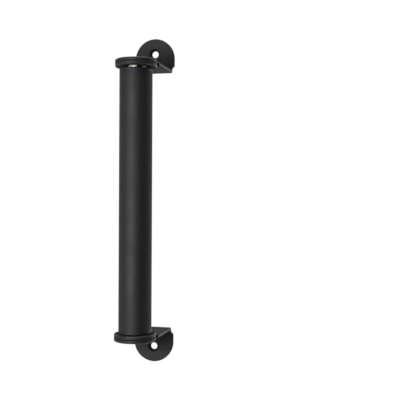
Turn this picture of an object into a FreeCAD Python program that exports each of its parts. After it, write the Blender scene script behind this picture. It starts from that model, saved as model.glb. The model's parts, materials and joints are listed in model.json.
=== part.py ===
import FreeCAD, Part
import math
import os
import Sketcher

# Barn door pull handle: a round grip tube between two bent plate brackets.
#
# Frame: +Z runs up along the handle and +X across it. The door's face is the plane Y = 0, and the
# handle stands out from it towards -Y. The origin lies on that face, halfway between the two
# holes for the door screws. Lengths are in millimetres.

SIZES = [
    ("tube_diameter", 25.4, "grip tube, outside"),
    ("tube_wall", 2.0, "grip tube, wall"),
    ("tube_deburr", 0.3, "chamfer on the ends of the tube"),
    ("clear_span", 204.2, "between the two flanges"),
    ("upper_gap", 1.7, "upper flange to the end of the tube"),
    ("lower_gap", 0.5, "lower flange to the end of the tube"),
    ("reach", 50.0, "tube axis to the door"),
    ("plate", 2.75, "bracket plate, thickness"),
    ("eye_diameter", 32.1, "bracket eye and flange, across"),
    ("arm_width", 29.5, "bracket arm, across"),
    ("neck_cut", 1.35, "neck between eye and arm, cut in from the arm on each side"),
    ("neck_length", 11.3, "tube axis to the end of the neck"),
    ("bend_radius", 0.8, "inside of the bend"),
    ("tab_shoulder_rise", 0.4, "end of the bend to the shoulders of the tab"),
    ("tab_overhang", 1.9, "mounting tab, beyond the arm on each side"),
    ("tab_centre_rise", 9.5, "eye's outer face to the centre of the tab's round end"),
    ("plate_corner_round", 0.7, "rounding of the corners in the plate's outline"),
    ("plate_edge_break", 0.4, "chamfer on the plate's cut edges"),
    ("door_hole_rise", 13.6, "eye's outer face to the hole for the door screw"),
    ("door_hole_diameter", 5.5, "hole for the door screw"),
    ("door_sink_diameter", 9.2, "countersink for the door screw"),
    ("sink_angle", 90.0, "countersinks, full angle in degrees"),
    ("flange_thickness", 2.6, "flange, thickness"),
    ("flange_edge_break", 0.4, "chamfer on the flange's rim"),
    ("plug_length", 18.0, "end plug, length pressed into the tube"),
    ("plug_neck_diameter", 18.0, "end plug, neck that meets the flange"),
    ("plug_shoulder_depth", 3.0, "upper end of the tube down to the plug's shoulder"),
    ("plug_fit", 0.05, "tube's bore to plug, on the radius"),
    ("screw_diameter", 5.0, "centre screw, shank"),
    ("screw_head_diameter", 9.2, "centre screw, flush head"),
    ("screw_grip", 12.0, "centre screw, length inside the plug"),
    ("screw_clearance", 0.25, "shank to the holes in eye and flange, on the radius"),
    ("head_clearance", 0.1, "head to its countersink, on the radius"),
    ("thread_clearance", 0.05, "shank to the hole in the plug, on the radius"),
    ("drill_run_out", 2.0, "hole in the plug beyond the tip of the screw"),
    ("key_width", 3.0, "hex socket, across flats"),
    ("key_depth", 1.5, "hex socket, depth"),
]

# Widths of the bracket.
NECK_WIDTH = "(Sizes.arm_width - 2 * Sizes.neck_cut)"
TAB_WIDTH = "(Sizes.arm_width + 2 * Sizes.tab_overhang)"

# Heights of the upper end, shared by all the pieces. The lower bracket, flange, plug and screw
# are the same pieces turned over.
FLANGE_INNER = "(Sizes.clear_span / 2)"
EYE_INNER = "(Sizes.clear_span / 2 + Sizes.flange_thickness)"
EYE_OUTER = "(" + EYE_INNER + " + Sizes.plate)"
TAB_SHOULDER = "(" + EYE_OUTER + " + Sizes.bend_radius + Sizes.tab_shoulder_rise)"
TAB_CENTRE = "(" + EYE_OUTER + " + Sizes.tab_centre_rise)"
DOOR_HOLE = "(" + EYE_OUTER + " + Sizes.door_hole_rise)"
PLUG_SHOULDER = "(" + FLANGE_INNER + " - Sizes.upper_gap - Sizes.plug_shoulder_depth)"
SCREW_TIP = "(" + FLANGE_INNER + " - Sizes.screw_grip)"

HALF_TURN = 180
HEX_SIDES = 6
TOUCH = 0.0001

doc = FreeCAD.newDocument("barn_door_pull")
sheet = doc.addObject("Spreadsheet::Sheet", "Sizes")
for row, (alias, number, meaning) in enumerate(SIZES, start=1):
    sheet.set("A%d" % row, meaning)
    sheet.set("B%d" % row, str(number))
    sheet.setAlias("B%d" % row, alias)
doc.recompute()


def new_body(label):
    body = doc.addObject("PartDesign::Body", label)
    body.Label = label
    return body


def new_sketch(body, name, role, height=None):
    """A sketch on one of the body's own origin planes, moved along the plane's normal."""
    sketch = body.newObject("Sketcher::SketchObject", name)
    plane = [item for item in body.Origin.OriginFeatures if item.Role == role][0]
    sketch.AttachmentSupport = [(plane, "")]
    sketch.MapMode = "FlatFace"
    if height:
        sketch.setExpression("AttachmentOffset.Base.z", height)
    return sketch


def constrain(sketch, expression, *constraint):
    """Adds a constraint whose value is an expression on the sheet."""
    number = sketch.addConstraint(Sketcher.Constraint(*constraint, 1.0))
    sketch.setExpression("Constraints[%d]" % number, expression)


def hold_point(sketch, geometry, end, across, up):
    """Holds a point of a sketch at the place that two expressions give."""
    constrain(sketch, across, "DistanceX", -1, 1, geometry, end)
    constrain(sketch, up, "DistanceY", -1, 1, geometry, end)


def add_polygon(sketch, corners):
    """A closed outline of straight lines, its corners given as pairs of expressions.

    The corners start on a circle, in order, and the constraints bring them to their places.
    """
    turn = 2 * math.pi / len(corners)
    starts = [FreeCAD.Vector(math.cos(turn * n), math.sin(turn * n), 0) for n in range(len(corners))]
    lines = []
    for number, start in enumerate(starts):
        follower = starts[(number + 1) % len(starts)]
        lines.append(sketch.addGeometry(Part.LineSegment(start, follower)))
    for number, (across, up) in enumerate(corners):
        follower = lines[(number + 1) % len(lines)]
        sketch.addConstraint(Sketcher.Constraint("Coincident", lines[number], 2, follower, 1))
        hold_point(sketch, lines[number], 1, across, up)


def add_circle(sketch, across, up, diameter):
    circle = sketch.addGeometry(Part.Circle(FreeCAD.Vector(), FreeCAD.Vector(0, 0, 1), 1.0))
    constrain(sketch, diameter, "Diameter", circle)
    hold_point(sketch, circle, 3, across, up)


def add_half_disc(sketch, base, diameter):
    """A half disc that stands on a line at the height base, halfway across the sketch."""
    circle = Part.Circle(FreeCAD.Vector(), FreeCAD.Vector(0, 0, 1), 1.0)
    arc = sketch.addGeometry(Part.ArcOfCircle(circle, 0, math.pi))
    line = sketch.addGeometry(Part.LineSegment(FreeCAD.Vector(-1, 0, 0), FreeCAD.Vector(1, 0, 0)))
    sketch.addConstraint(Sketcher.Constraint("Coincident", arc, 2, line, 1))
    sketch.addConstraint(Sketcher.Constraint("Coincident", line, 2, arc, 1))
    constrain(sketch, diameter, "Diameter", arc)
    hold_point(sketch, arc, 3, "0", base)
    for end in (1, 2):
        constrain(sketch, base, "DistanceY", -1, 1, arc, end)


def add_pad(body, name, sketch, length, symmetric=False):
    pad = body.newObject("PartDesign::Pad", name)
    pad.Profile = sketch
    pad.setExpression("Length", length)
    if symmetric:
        pad.SideType = "Symmetric"
    return pad


def add_countersunk_hole(body, name, sketch, hole_diameter, sink_diameter):
    """A screw hole right through, with its countersink on the sketch's side."""
    doc.recompute()
    hole = body.newObject("PartDesign::Hole", name)
    hole.Profile = sketch
    hole.DepthType = "ThroughAll"
    hole.setExpression("Diameter", hole_diameter)
    hole.HoleCutType = "Countersink"
    hole.HoleCutCustomValues = True
    hole.setExpression("HoleCutDiameter", sink_diameter)
    hole.setExpression("HoleCutCountersinkAngle", "Sizes.sink_angle")
    return hole


def add_edge_feature(body, kind, name, size_name, size, wanted):
    """A fillet or chamfer on the edges of the body's tip that a test picks."""
    doc.recompute()
    tip = body.Tip
    names = ["Edge%d" % n for n, edge in enumerate(tip.Shape.Edges, start=1) if wanted(edge)]
    feature = body.newObject(kind, name)
    feature.Base = (tip, names)
    feature.setExpression(size_name, size)
    return feature


def turn_over(body):
    """Puts a piece that is modelled at the upper end at the lower end."""
    body.Placement = FreeCAD.Placement(
        FreeCAD.Vector(), FreeCAD.Rotation(FreeCAD.Vector(0, 1, 0), HALF_TURN))


def is_straight(edge):
    return isinstance(edge.Curve, Part.Line)


def runs_across(edge, y, z):
    """Whether an edge lies along X at a given place."""
    ends = [vertex.Point for vertex in edge.Vertexes]
    return is_straight(edge) and all(
        abs(end.y - y) < TOUCH and abs(end.z - z) < TOUCH for end in ends)


def through_plate(edge):
    """Whether a straight edge of a bracket runs through the thickness of its plate."""
    eye_outer = sheet.clear_span / 2 + sheet.flange_thickness + sheet.plate
    in_tab = edge.CenterOfMass.z > eye_outer + TOUCH
    along = edge.Curve.Direction
    return abs(along.y if in_tab else along.z) > TOUCH


def at_plate_corner(edge):
    """Whether an edge of a bracket without holes is a corner of the plate's outline."""
    tab_centre = sheet.clear_span / 2 + sheet.flange_thickness + sheet.plate + sheet.tab_centre_rise
    return (is_straight(edge) and through_plate(edge)
            and abs(edge.CenterOfMass.z - tab_centre) > TOUCH)


def on_plate_outline(edge):
    """Whether an edge of a bracket without holes follows the plate's outline, on either face."""
    if not is_straight(edge):
        return True
    return not through_plate(edge) and abs(edge.Curve.Direction.x) < 1 - TOUCH


def make_grip_tube():
    body = new_body("grip_tube")
    section = new_sketch(body, "TubeSection", "XY_Plane", "Sizes.lower_gap - " + FLANGE_INNER)
    add_circle(section, "0", "-Sizes.reach", "Sizes.tube_diameter")
    add_circle(section, "0", "-Sizes.reach", "Sizes.tube_diameter - 2 * Sizes.tube_wall")
    length = "Sizes.clear_span - Sizes.upper_gap - Sizes.lower_gap"
    add_pad(body, "TubeWall", section, length)
    add_edge_feature(body, "PartDesign::Chamfer", "TubeDeburr", "Size", "Sizes.tube_deburr",
                     lambda edge: not is_straight(edge))
    return body


def make_bracket(label):
    """One bent plate: round eye, neck, arm, bend and round-ended tab with its screw hole."""
    body = new_body(label)
    arm_start = "(Sizes.neck_length + Sizes.neck_cut - Sizes.reach)"

    side = new_sketch(body, "BentStripSide", "YZ_Plane")
    add_polygon(side, [
        (arm_start, EYE_INNER), ("0", EYE_INNER), ("0", TAB_CENTRE),
        ("-Sizes.plate", TAB_CENTRE), ("-Sizes.plate", EYE_OUTER), (arm_start, EYE_OUTER)])
    add_pad(body, "BentStrip", side, "Sizes.arm_width", symmetric=True)
    inside = (-sheet.plate, sheet.clear_span / 2 + sheet.flange_thickness + sheet.plate)
    outside = (0, sheet.clear_span / 2 + sheet.flange_thickness)
    add_edge_feature(body, "PartDesign::Fillet", "BendInside", "Radius", "Sizes.bend_radius",
                     lambda edge: runs_across(edge, *inside))
    add_edge_feature(body, "PartDesign::Fillet", "BendOutside", "Radius",
                     "Sizes.bend_radius + Sizes.plate", lambda edge: runs_across(edge, *outside))

    neck = new_sketch(body, "NeckOutline", "XY_Plane", EYE_INNER)
    neck_end = "Sizes.neck_length - Sizes.reach"
    neck_side = NECK_WIDTH + " / 2"
    add_polygon(neck, [
        (neck_side, "-Sizes.reach"), (neck_side, neck_end),
        ("Sizes.arm_width / 2", arm_start), ("-Sizes.arm_width / 2", arm_start),
        ("-" + neck_side, neck_end), ("-" + neck_side, "-Sizes.reach")])
    add_pad(body, "Neck", neck, "Sizes.plate")

    eye = new_sketch(body, "EyeOutline", "XY_Plane", EYE_INNER)
    add_circle(eye, "0", "-Sizes.reach", "Sizes.eye_diameter")
    add_pad(body, "Eye", eye, "Sizes.plate")

    clip_end = TAB_SHOULDER + " + Sizes.tab_overhang"
    tab_side = TAB_WIDTH + " / 2"
    tab = new_sketch(body, "TabSides", "XZ_Plane")
    add_polygon(tab, [
        ("Sizes.arm_width / 2", TAB_SHOULDER), (tab_side, clip_end), (tab_side, TAB_CENTRE),
        ("-" + tab_side, TAB_CENTRE), ("-" + tab_side, clip_end),
        ("-Sizes.arm_width / 2", TAB_SHOULDER)])
    add_pad(body, "Tab", tab, "Sizes.plate")

    tab_end = new_sketch(body, "TabRoundEnd", "XZ_Plane")
    add_half_disc(tab_end, TAB_CENTRE, TAB_WIDTH)
    add_pad(body, "TabEnd", tab_end, "Sizes.plate")
    add_edge_feature(body, "PartDesign::Fillet", "PlateCorners", "Radius",
                     "Sizes.plate_corner_round", at_plate_corner)
    add_edge_feature(body, "PartDesign::Chamfer", "PlateEdges", "Size",
                     "Sizes.plate_edge_break", on_plate_outline)

    door_hole = new_sketch(body, "DoorHoleCentre", "XZ_Plane", "Sizes.plate")
    add_circle(door_hole, "0", DOOR_HOLE, "Sizes.door_hole_diameter")
    add_countersunk_hole(body, "DoorHole", door_hole, "Sizes.door_hole_diameter",
                         "Sizes.door_sink_diameter")

    eye_hole = new_sketch(body, "EyeHoleCentre", "XY_Plane", EYE_OUTER)
    add_circle(eye_hole, "0", "-Sizes.reach", "Sizes.screw_diameter")
    add_countersunk_hole(body, "EyeHole", eye_hole,
                         "Sizes.screw_diameter + 2 * Sizes.screw_clearance",
                         "Sizes.screw_head_diameter + 2 * Sizes.head_clearance")
    return body


def make_flange(label):
    """A round washer as large as the eye, chamfered at its rim."""
    body = new_body(label)
    ring = new_sketch(body, "FlangeRing", "XY_Plane", FLANGE_INNER)
    add_circle(ring, "0", "-Sizes.reach", "Sizes.eye_diameter")
    add_circle(ring, "0", "-Sizes.reach", "Sizes.screw_diameter + 2 * Sizes.screw_clearance")
    add_pad(body, "FlangeDisc", ring, "Sizes.flange_thickness")
    add_edge_feature(body, "PartDesign::Chamfer", "FlangeRim", "Size", "Sizes.flange_edge_break",
                     lambda edge: not is_straight(edge) and edge.Curve.Radius > sheet.screw_diameter)
    return body


def make_turned(label, corners):
    """A piece turned about the tube's axis, from its half section as (radius, height) pairs."""
    body = new_body(label)
    section = new_sketch(body, "HalfSection", "YZ_Plane")
    add_polygon(section, [("%s - Sizes.reach" % radius, height) for radius, height in corners])
    axis = section.addGeometry(
        Part.LineSegment(FreeCAD.Vector(-1, -1, 0), FreeCAD.Vector(-1, 1, 0)), True)
    hold_point(section, axis, 1, "-Sizes.reach", "0")
    hold_point(section, axis, 2, "-Sizes.reach", FLANGE_INNER)
    revolution = body.newObject("PartDesign::Revolution", "Turned")
    revolution.Profile = section
    revolution.ReferenceAxis = (section, ["Axis0"])
    revolution.Angle = 2 * HALF_TURN
    return body


def make_plug(label):
    """End plug: a body pressed into the tube, a neck up to the flange and a threaded hole."""
    bore = "(Sizes.tube_diameter / 2 - Sizes.tube_wall - Sizes.plug_fit)"
    hole = "(Sizes.screw_diameter / 2 + Sizes.thread_clearance)"
    hole_end = SCREW_TIP + " - Sizes.drill_run_out"
    foot = PLUG_SHOULDER + " - Sizes.plug_length"
    neck = "Sizes.plug_neck_diameter / 2"
    return make_turned(label, [
        ("0", foot), (bore, foot), (bore, PLUG_SHOULDER), (neck, PLUG_SHOULDER),
        (neck, FLANGE_INNER), (hole, FLANGE_INNER), (hole, hole_end), ("0", hole_end)])


def make_screw(label):
    """Countersunk screw, flush with the eye's outer face, with a hex socket."""
    shank = "Sizes.screw_diameter / 2"
    head = "Sizes.screw_head_diameter / 2"
    cone_end = EYE_OUTER + " - (Sizes.screw_head_diameter - Sizes.screw_diameter) / 2"
    cone_end += " / tan(Sizes.sink_angle / 2)"
    body = make_turned(label, [
        ("0", SCREW_TIP), (shank, SCREW_TIP), (shank, cone_end), (head, EYE_OUTER),
        ("0", EYE_OUTER)])
    socket = new_sketch(body, "HexSocket", "XY_Plane", EYE_OUTER)
    corners = []
    for number in range(HEX_SIDES):
        turn = 2 * math.pi * number / HEX_SIDES
        across = math.cos(turn) / math.sqrt(3)
        up = math.sin(turn) / math.sqrt(3)
        corners.append(("Sizes.key_width * %.9f" % across,
                        "Sizes.key_width * %.9f - Sizes.reach" % up))
    add_polygon(socket, corners)
    pocket = body.newObject("PartDesign::Pocket", "Socket")
    pocket.Profile = socket
    pocket.setExpression("Length", "Sizes.key_depth")
    return body


pieces = [make_grip_tube()]
for end in ("upper", "lower"):
    fittings = [make_bracket(end + "_bracket"), make_flange(end + "_flange")]
    fittings.append(make_plug(end + "_plug"))
    fittings.append(make_screw(end + "_centre_screw"))
    if end == "lower":
        for fitting in fittings:
            turn_over(fitting)
    pieces += fittings
doc.recompute()

for item in doc.Objects:
    if "Invalid" in item.State or "Error" in item.State:
        raise RuntimeError("%s failed: %s" % (item.Label, item.State))
for piece in pieces:
    shape = piece.Shape
    if shape.isNull() or not shape.isValid() or len(shape.Solids) != 1:
        raise RuntimeError("%s isn't one valid solid" % piece.Label)

os.makedirs("parts", exist_ok=True)
for piece in pieces:
    piece.Shape.exportStep("parts/%s.step" % piece.Label)
    box = piece.Shape.BoundBox
    print("%-20s %9.1f mm3  x %.2f..%.2f  y %.2f..%.2f  z %.2f..%.2f" % (
        piece.Label, piece.Shape.Volume, box.XMin, box.XMax, box.YMin, box.YMax, box.ZMin,
        box.ZMax))
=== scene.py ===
import json
import math

import bpy
from mathutils import Matrix, Vector

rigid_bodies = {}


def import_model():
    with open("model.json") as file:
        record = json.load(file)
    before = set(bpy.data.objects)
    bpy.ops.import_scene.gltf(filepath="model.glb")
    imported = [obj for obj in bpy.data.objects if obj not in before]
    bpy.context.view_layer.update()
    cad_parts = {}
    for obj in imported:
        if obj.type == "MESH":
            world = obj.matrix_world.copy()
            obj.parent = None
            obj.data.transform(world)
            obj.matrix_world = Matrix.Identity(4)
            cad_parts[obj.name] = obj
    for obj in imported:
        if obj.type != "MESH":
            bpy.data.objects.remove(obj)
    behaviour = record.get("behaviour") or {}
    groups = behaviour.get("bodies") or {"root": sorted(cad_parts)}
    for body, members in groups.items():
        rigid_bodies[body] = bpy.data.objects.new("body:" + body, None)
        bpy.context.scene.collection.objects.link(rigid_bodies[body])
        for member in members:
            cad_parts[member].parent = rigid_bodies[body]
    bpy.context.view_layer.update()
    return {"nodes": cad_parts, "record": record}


# Barn door pull handle, dressed. Lengths are in metres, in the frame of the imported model: the
# door's face is at depth zero, and the handle's middle is at height zero.

TUBE_Y = -0.050

# Heights, up or down, where flanges and brackets begin, and those of the seam between them.
PLATES_BEGIN = (0.0980, 0.0985)
SEAM = (0.1043, 0.1051)
SEAM_SOFTNESS = 0.0002

# Height times the upward part of the normal, on the flanges' faces over the gaps.
FLANGE_INSIDE = (-0.1030, -0.1010)

# Depths between which an arm turns into its tab.
TAB_BEGINS = (-0.0040, -0.0035)

# Roughness of the powder coat, and what is added where it is dry or taken off where it is glossy.
COAT_ROUGHNESS = (0.57, 0.63)
INWARD_DRY = 0.22
BEND_DRY = 0.33
UPPER_TAB_DRY = 0.06
HEEL_DRY = 0.4
CREVICE_DRY = 0.4
SIDE_GLOSS = 0.15
EDGE_GLOSS = 0.42

# How much painted shade darkens the coat's colour in crevices.
CREVICE_PAINTED_SHADE = 0.8

EDGE_RADIUS = 0.0006
BEVEL_SAMPLES = 6

# Where the end plugs are bare round the neck, in degrees from the front towards the right.
BARE_PATCHES = ((-17.0, 25.0), (51.0, 81.0), (128.0, 158.0), (-150.0, -112.0))
PATCH_SOFTNESS = 1.5
PATCH_WANDER = 4.0

COATED_PLUG_ROUGHNESS = 0.85
PLUG_SPECULAR = 0.15

# The part of its range that most of a noise fills.
NOISE_LOW = 0.3
NOISE_HIGH = 0.7

# The studio.
FLOOR_Z = -0.9
FLOOR_FRONT = -0.45
FLOOR_HALF_WIDTH = 1.6
FLOOR_GLOW = 0.9
BACKDROP_Y = 1.4
BACKDROP_HALF_WIDTH = 0.95
BACKDROP_TOP = 0.9
BACKDROP_GLOW = 1.0
STUDIO_GREY = (0.8, 0.8, 0.8, 1.0)
WHITE = (1.0, 1.0, 1.0, 1.0)
BLACK = (0.0, 0.0, 0.0, 1.0)

# Strength of the room's light behind the handle, and what multiplies it left and right.
ROOM_BEHIND = 0.7
ROOM_LEFT = 1.3
ROOM_RIGHT = 0.85

# Name, azimuth, elevation, distance, width, height and radiance of each softbox. Azimuth 0 is in
# front, 90 to the right.
SOFTBOXES = (
    ("key", -15.0, 0.0, 0.65, 0.16, 0.50, 12.8),
    ("front_fill", 0.0, 0.0, 0.65, 0.18, 0.40, 4.3),
    ("left_side", -76.0, 0.0, 1.2, 0.9, 2.2, 0.55),
    ("above", 0.0, 89.0, 1.2, 1.3, 1.3, 3.0),
)

# Camera, as fitted to the photograph.
CAMERA_RANGE = 0.57035
CAMERA_SWING = 0.33206
CAMERA_HEIGHT = 0.00151
CAMERA_YAW = -0.08691
CAMERA_PITCH = -0.00183
CAMERA_ROLL = 0.0047
FOCAL_PIXELS = 740.41
FRAME_PIXELS = 400.0
SENSOR = 36.0
CLIP_START = 0.01
CLIP_END = 20.0

for leftover in list(bpy.data.objects):
    bpy.data.objects.remove(leftover)

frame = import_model()
nodes = frame["nodes"]


def new_material(name):
    """An empty node material and its Principled shader, joined to the output."""
    material = bpy.data.materials.new(name)
    material.use_nodes = True
    tree = material.node_tree
    tree.nodes.clear()
    output = tree.nodes.new("ShaderNodeOutputMaterial")
    shader = tree.nodes.new("ShaderNodeBsdfPrincipled")
    tree.links.new(shader.outputs["BSDF"], output.inputs["Surface"])
    return material, tree, shader


def noise(tree, vector, scale, detail=2.0, roughness=0.5):
    node = tree.nodes.new("ShaderNodeTexNoise")
    node.inputs["Scale"].default_value = scale
    node.inputs["Detail"].default_value = detail
    node.inputs["Roughness"].default_value = roughness
    tree.links.new(vector, node.inputs["Vector"])
    return node.outputs["Fac"]


def remap(tree, value, low, high, out_low, out_high):
    node = tree.nodes.new("ShaderNodeMapRange")
    node.inputs["From Min"].default_value = low
    node.inputs["From Max"].default_value = high
    node.inputs["To Min"].default_value = out_low
    node.inputs["To Max"].default_value = out_high
    tree.links.new(value, node.inputs["Value"])
    return node.outputs["Result"]


def spread(tree, value, low, high):
    """A noise spread over the range from low to high."""
    return remap(tree, value, NOISE_LOW, NOISE_HIGH, low, high)


def rise(tree, value, low, high):
    """Zero up to low, and one from high on."""
    return remap(tree, value, low, high, 0.0, 1.0)


def fall(tree, value, low, high):
    """One up to low, and zero from high on."""
    return remap(tree, value, low, high, 1.0, 0.0)


def math_node(tree, operation, first, second=0.0):
    """A math node; each input is a socket or a number."""
    node = tree.nodes.new("ShaderNodeMath")
    node.operation = operation
    for slot, value in enumerate((first, second)):
        if isinstance(value, (int, float)):
            node.inputs[slot].default_value = value
        else:
            tree.links.new(value, node.inputs[slot])
    return node.outputs["Value"]


def product(tree, first, second):
    return math_node(tree, "MULTIPLY", first, second)


def larger(tree, first, second):
    return math_node(tree, "MAXIMUM", first, second)


def absolute(tree, value):
    return math_node(tree, "ABSOLUTE", value)


def window(tree, value, low, high, soft):
    """One where the value lies between low and high, with soft ends."""
    start = rise(tree, value, low - soft, low + soft)
    end = fall(tree, value, high - soft, high + soft)
    return product(tree, start, end)


def split(tree, vector):
    node = tree.nodes.new("ShaderNodeSeparateXYZ")
    tree.links.new(vector, node.inputs["Vector"])
    return node.outputs


def ramp(tree, value, stops):
    node = tree.nodes.new("ShaderNodeValToRGB")
    elements = node.color_ramp.elements
    while len(elements) < len(stops):
        elements.new(0.5)
    for element, (position, colour) in zip(elements, stops):
        element.position = position
        element.color = (*colour, 1.0)
    tree.links.new(value, node.inputs["Fac"])
    return node.outputs["Color"]


def mix_colour(tree, share, first, second):
    """The first colour, with a share of the second, which is a socket or a plain colour."""
    node = tree.nodes.new("ShaderNodeMix")
    node.data_type = "RGBA"
    tree.links.new(share, node.inputs[0])
    tree.links.new(first, node.inputs[6])
    if isinstance(second, tuple):
        node.inputs[7].default_value = second
    else:
        tree.links.new(second, node.inputs[7])
    return node.outputs[2]


def bump(tree, height, strength, distance, below=None):
    node = tree.nodes.new("ShaderNodeBump")
    node.inputs["Strength"].default_value = strength
    node.inputs["Distance"].default_value = distance
    tree.links.new(height, node.inputs["Height"])
    if below is not None:
        tree.links.new(below, node.inputs["Normal"])
    return node.outputs["Normal"]


def powder_coat():
    """Satin black powder coat: a fine pebbled grain over a soft orange peel film."""
    material, tree, shader = new_material("powder_coat_black")
    coordinates = tree.nodes.new("ShaderNodeTexCoord")
    place = coordinates.outputs["Object"]
    grain = noise(tree, place, 2300.0, 3.0, 0.6)
    peel = noise(tree, place, 850.0, 2.0, 0.55)
    film = noise(tree, place, 260.0)
    patch = noise(tree, place, 60.0)
    at = split(tree, place)
    facing = split(tree, coordinates.outputs["Normal"])
    height = absolute(tree, at["Z"])
    upright = absolute(tree, facing["Z"])
    outward = product(tree, at["Z"], facing["Z"])
    on_tab = rise(tree, at["Y"], *TAB_BEGINS)
    # Crevices are dull, and painted shade darkens their colour towards black: the seam, the flanges
    # over the gaps, and the countersinks.
    seam = product(tree, window(tree, height, *SEAM, SEAM_SOFTNESS), fall(tree, upright, 0.85, 0.95))
    over_gap = window(tree, outward, *FLANGE_INSIDE, SEAM_SOFTNESS)
    sink = product(tree, window(tree, facing["Y"], -0.80, -0.60, 0.03), on_tab)
    crevice_dull_and_painted_shade = larger(tree, seam, larger(tree, over_gap, sink))
    colour = ramp(tree, grain, [
        (0.30, (0.0040, 0.0040, 0.0050)), (0.55, (0.0074, 0.0074, 0.0092)),
        (0.75, (0.0148, 0.0148, 0.0178))])
    coat_with_painted_shade = mix_colour(tree, product(tree, crevice_dull_and_painted_shade, CREVICE_PAINTED_SHADE), colour, BLACK)
    tree.links.new(coat_with_painted_shade, shader.inputs["Base Color"])
    # Less powder reaches the faces turned in towards the tube, the corner of the bend and the
    # tabs' heels and backs, so the coat is drier there. On the upper tab it is so up to the top.
    inward = remap(tree, outward, -0.104, -0.09, INWARD_DRY, 0.0)
    upper_bend = remap(tree, at["Z"], 0.106, 0.128, BEND_DRY, UPPER_TAB_DRY)
    lower_bend = remap(tree, at["Z"], -0.127, -0.106, 0.0, BEND_DRY)
    bend = math_node(tree, "MINIMUM", upper_bend, lower_bend)
    corner = product(tree, bend, fall(tree, facing["Y"], -0.9, -0.6))
    heel = remap(tree, facing["Y"], 0.02, 0.2, 0.0, HEEL_DRY)
    dry = larger(tree, inward, product(tree, larger(tree, corner, heel), on_tab))
    dry = larger(tree, dry, product(tree, crevice_dull_and_painted_shade, CREVICE_DRY))
    # The sheared right sides of the plates and the broken edges are glossier.
    side = remap(tree, facing["X"], 0.80, 0.95, 0.0, SIDE_GLOSS)
    broken_edge = product(tree, window(tree, upright, 0.4, 0.9, 0.1), EDGE_GLOSS)
    on_plates = math_node(tree, "SUBTRACT", rise(tree, height, *PLATES_BEGIN), seam)
    gloss = product(tree, larger(tree, side, broken_edge), on_plates)
    rough = math_node(tree, "ADD", spread(tree, patch, *COAT_ROUGHNESS), dry)
    tree.links.new(math_node(tree, "SUBTRACT", rough, gloss), shader.inputs["Roughness"])
    rounded = tree.nodes.new("ShaderNodeBevel")
    rounded.samples = BEVEL_SAMPLES
    rounded.inputs["Radius"].default_value = EDGE_RADIUS
    # The relief from the widest to the finest, with the strength and depth of each.
    normal = rounded.outputs["Normal"]
    for relief, strength, depth in (
            (film, 0.6, 0.00015), (peel, 0.9, 0.00013), (grain, 0.5, 0.00004)):
        normal = bump(tree, relief, strength, depth, normal)
    tree.links.new(normal, shader.inputs["Normal"])
    return material


def coated_plug():
    """Turned zinc under black coat, bare in patches round the neck where the coat didn't reach."""
    material, tree, shader = new_material("coated_turned_plug")
    place = tree.nodes.new("ShaderNodeTexCoord").outputs["Object"]
    centred = tree.nodes.new("ShaderNodeMapping")
    centred.inputs["Location"].default_value = (0.0, -TUBE_Y, 0.0)
    tree.links.new(place, centred.inputs["Vector"])
    rings = tree.nodes.new("ShaderNodeTexWave")
    rings.bands_direction = "Z"
    rings.inputs["Scale"].default_value = 900.0
    rings.inputs["Distortion"].default_value = 1.5
    rings.inputs["Detail"].default_value = 2.0
    tree.links.new(centred.outputs["Vector"], rings.inputs["Vector"])
    cloud = noise(tree, place, 350.0, 3.0, 0.6)
    ragged = noise(tree, place, 700.0, 3.0, 0.6)
    # Degrees round the axis from the front, towards the right.
    across = split(tree, centred.outputs["Vector"])
    towards_front = product(tree, across["Y"], -1.0)
    turn = math_node(tree, "ARCTAN2", across["X"], towards_front)
    degrees = product(tree, turn, 180.0 / math.pi)
    wander = spread(tree, ragged, -PATCH_WANDER, PATCH_WANDER)
    place_round = math_node(tree, "ADD", degrees, wander)
    patches = [window(tree, place_round, low, high, PATCH_SOFTNESS) for low, high in BARE_PATCHES]
    bare = patches[0]
    for patch in patches[1:]:
        bare = larger(tree, bare, patch)
    # The bare metal's colour is made lighter at the sides and back, a painted highlight that
    # strengthens the glints there, and stays duller in front.
    painted_highlight_past_front = remap(tree, absolute(tree, degrees), 35.0, 50.0, 0.0, 0.7)
    tone_and_painted_highlight = math_node(tree, "ADD", spread(tree, cloud, 0.0, 0.3), painted_highlight_past_front)
    zinc = ramp(tree, tone_and_painted_highlight, [
        (0.0, (0.62, 0.59, 0.51)), (0.3, (0.76, 0.73, 0.66)), (0.7, (0.95, 0.93, 0.88))])
    coat = ramp(tree, cloud, [
        (NOISE_LOW, (0.0040, 0.0040, 0.0045)), (NOISE_HIGH, (0.0100, 0.0100, 0.0110))])
    tree.links.new(mix_colour(tree, bare, coat, zinc), shader.inputs["Base Color"])
    tree.links.new(bare, shader.inputs["Metallic"])
    shader.inputs["Specular IOR Level"].default_value = PLUG_SPECULAR
    shine = product(tree, bare, spread(tree, cloud, 0.30, 0.36))
    rough = math_node(tree, "SUBTRACT", COATED_PLUG_ROUGHNESS, shine)
    tree.links.new(rough, shader.inputs["Roughness"])
    tree.links.new(bump(tree, rings.outputs["Fac"], 0.2, 0.00002), shader.inputs["Normal"])
    return material


def black_oxide():
    """Black oxide on the centre screws: darker and smoother than the powder coat."""
    material, tree, shader = new_material("black_oxide")
    place = tree.nodes.new("ShaderNodeTexCoord").outputs["Object"]
    cloud = noise(tree, place, 900.0, 3.0, 0.6)
    fine = noise(tree, place, 5200.0)
    colour = ramp(tree, cloud, [
        (NOISE_LOW, (0.006, 0.006, 0.007)), (NOISE_HIGH, (0.020, 0.020, 0.022))])
    tree.links.new(colour, shader.inputs["Base Color"])
    shader.inputs["Metallic"].default_value = 0.3
    tree.links.new(spread(tree, fine, 0.30, 0.42), shader.inputs["Roughness"])
    tree.links.new(bump(tree, fine, 0.3, 0.00002), shader.inputs["Normal"])
    return material


def seen_directly(tree):
    """One for rays from the camera, off gloss and through glass, and zero for the rest."""
    path = tree.nodes.new("ShaderNodeLightPath").outputs
    return larger(tree, larger(tree, path["Is Camera Ray"], path["Is Glossy Ray"]),
                  path["Is Transmission Ray"])


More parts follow.
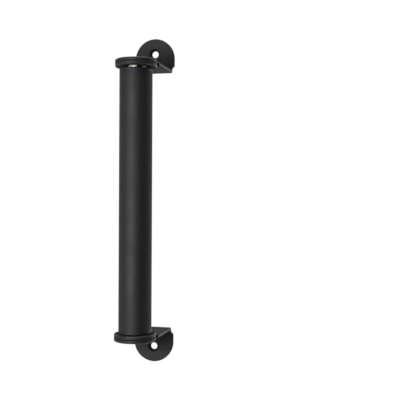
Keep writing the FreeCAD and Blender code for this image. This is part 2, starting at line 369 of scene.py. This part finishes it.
def studio_plane(name, corners, glow):
    """A pale plane of the studio, which isn't part of the object.

    The glow is the share of plain white in it for rays that see it directly. Towards its rim the
    plane fades to the white behind it.
    """
    mesh = bpy.data.meshes.new(name)
    mesh.from_pydata(corners, [], [(0, 1, 2, 3)])
    plane = bpy.data.objects.new(name, mesh)
    bpy.context.scene.collection.objects.link(plane)
    material = bpy.data.materials.new(name)
    material.use_nodes = True
    tree = material.node_tree
    tree.nodes.clear()
    output = tree.nodes.new("ShaderNodeOutputMaterial")
    matt = tree.nodes.new("ShaderNodeBsdfDiffuse")
    matt.inputs["Color"].default_value = STUDIO_GREY
    light = tree.nodes.new("ShaderNodeEmission")
    light.inputs["Strength"].default_value = 1.0
    across = split(tree, tree.nodes.new("ShaderNodeTexCoord").outputs["Generated"])
    off_middle = [absolute(tree, math_node(tree, "SUBTRACT", across[axis], 0.5))
                  for axis in ("X", "Y")]
    rim = remap(tree, larger(tree, *off_middle), 0.2, 0.48, glow, 1.0)
    mix = tree.nodes.new("ShaderNodeMixShader")
    tree.links.new(product(tree, seen_directly(tree), rim), mix.inputs["Fac"])
    tree.links.new(matt.outputs["BSDF"], mix.inputs[1])
    tree.links.new(light.outputs["Emission"], mix.inputs[2])
    tree.links.new(mix.outputs["Shader"], output.inputs["Surface"])
    mesh.materials.append(material)


def make_studio():
    left, right = -FLOOR_HALF_WIDTH, FLOOR_HALF_WIDTH
    studio_plane("floor", [
        (left, FLOOR_FRONT, FLOOR_Z), (right, FLOOR_FRONT, FLOOR_Z),
        (right, BACKDROP_Y, FLOOR_Z), (left, BACKDROP_Y, FLOOR_Z)], FLOOR_GLOW)
    left, right = -BACKDROP_HALF_WIDTH, BACKDROP_HALF_WIDTH
    studio_plane("backdrop", [
        (left, BACKDROP_Y, FLOOR_Z), (right, BACKDROP_Y, FLOOR_Z),
        (right, BACKDROP_Y, BACKDROP_TOP), (left, BACKDROP_Y, BACKDROP_TOP)], BACKDROP_GLOW)


def make_world():
    """White where the camera sees it, and for the rest a dim room, lighter behind and left."""
    world = bpy.data.worlds.new("studio")
    bpy.context.scene.world = world
    world.use_nodes = True
    tree = world.node_tree
    tree.nodes.clear()
    output = tree.nodes.new("ShaderNodeOutputWorld")
    facing = split(tree, tree.nodes.new("ShaderNodeTexCoord").outputs["Generated"])
    behind = remap(tree, facing["Y"], 0.08, 0.45, 0.0, ROOM_BEHIND)
    left = remap(tree, facing["X"], -1.0, 1.0, ROOM_LEFT, ROOM_RIGHT)
    room = tree.nodes.new("ShaderNodeBackground")
    room.inputs["Color"].default_value = WHITE
    tree.links.new(product(tree, behind, left), room.inputs["Strength"])
    white = tree.nodes.new("ShaderNodeBackground")
    white.inputs["Color"].default_value = WHITE
    white.inputs["Strength"].default_value = 1.0
    path = tree.nodes.new("ShaderNodeLightPath")
    mix = tree.nodes.new("ShaderNodeMixShader")
    tree.links.new(path.outputs["Is Camera Ray"], mix.inputs["Fac"])
    tree.links.new(room.outputs["Background"], mix.inputs[1])
    tree.links.new(white.outputs["Background"], mix.inputs[2])
    tree.links.new(mix.outputs["Shader"], output.inputs["Surface"])


def softbox(name, azimuth, elevation, distance, width, height, radiance):
    """An area light that faces the tube's middle."""
    light = bpy.data.lights.new(name, "AREA")
    light.shape = "RECTANGLE"
    light.size = width
    light.size_y = height
    light.energy = radiance * math.pi * width * height
    lamp = bpy.data.objects.new(name, light)
    bpy.context.scene.collection.objects.link(lamp)
    turn = math.radians(azimuth)
    lift = math.radians(elevation)
    out = Vector((math.sin(turn) * math.cos(lift), -math.cos(turn) * math.cos(lift),
                  math.sin(lift)))
    lamp.location = Vector((0.0, TUBE_Y, 0.0)) + out * distance
    lamp.rotation_mode = "QUATERNION"
    lamp.rotation_quaternion = (-out).to_track_quat("-Z", "Y")
    lamp.visible_camera = False


def make_camera():
    """The camera swings round the tube, is turned back by its yaw, and rolls by a hair."""
    scene = bpy.context.scene
    data = bpy.data.cameras.new("camera")
    data.sensor_width = SENSOR
    data.lens = FOCAL_PIXELS / FRAME_PIXELS * SENSOR
    camera = bpy.data.objects.new("camera", data)
    scene.collection.objects.link(camera)
    turn = CAMERA_SWING + CAMERA_YAW
    forward = Vector((-math.sin(turn) * math.cos(CAMERA_PITCH),
                      math.cos(turn) * math.cos(CAMERA_PITCH), math.sin(CAMERA_PITCH)))
    level = forward.cross(Vector((0.0, 0.0, 1.0))).normalized()
    upright = level.cross(forward)
    right = level * math.cos(CAMERA_ROLL) + upright * math.sin(CAMERA_ROLL)
    up = upright * math.cos(CAMERA_ROLL) - level * math.sin(CAMERA_ROLL)
    pose = Matrix((right, up, -forward)).transposed().to_4x4()
    pose.translation = Vector((CAMERA_RANGE * math.sin(CAMERA_SWING),
                               TUBE_Y - CAMERA_RANGE * math.cos(CAMERA_SWING), CAMERA_HEIGHT))
    camera.matrix_world = pose
    data.clip_start = CLIP_START
    data.clip_end = CLIP_END
    scene.camera = camera


finishes = {
    "powder_coat": powder_coat(), "bare_plug": coated_plug(), "black_screw": black_oxide()}
for subpart in frame["record"]["subparts"]:
    node = nodes[subpart["node"]]
    node.data.materials.clear()
    node.data.materials.append(finishes[subpart["material_slot"]])

make_studio()
make_world()
for row in SOFTBOXES:
    softbox(*row)
make_camera()
bpy.context.scene.view_settings.view_transform = "Standard"
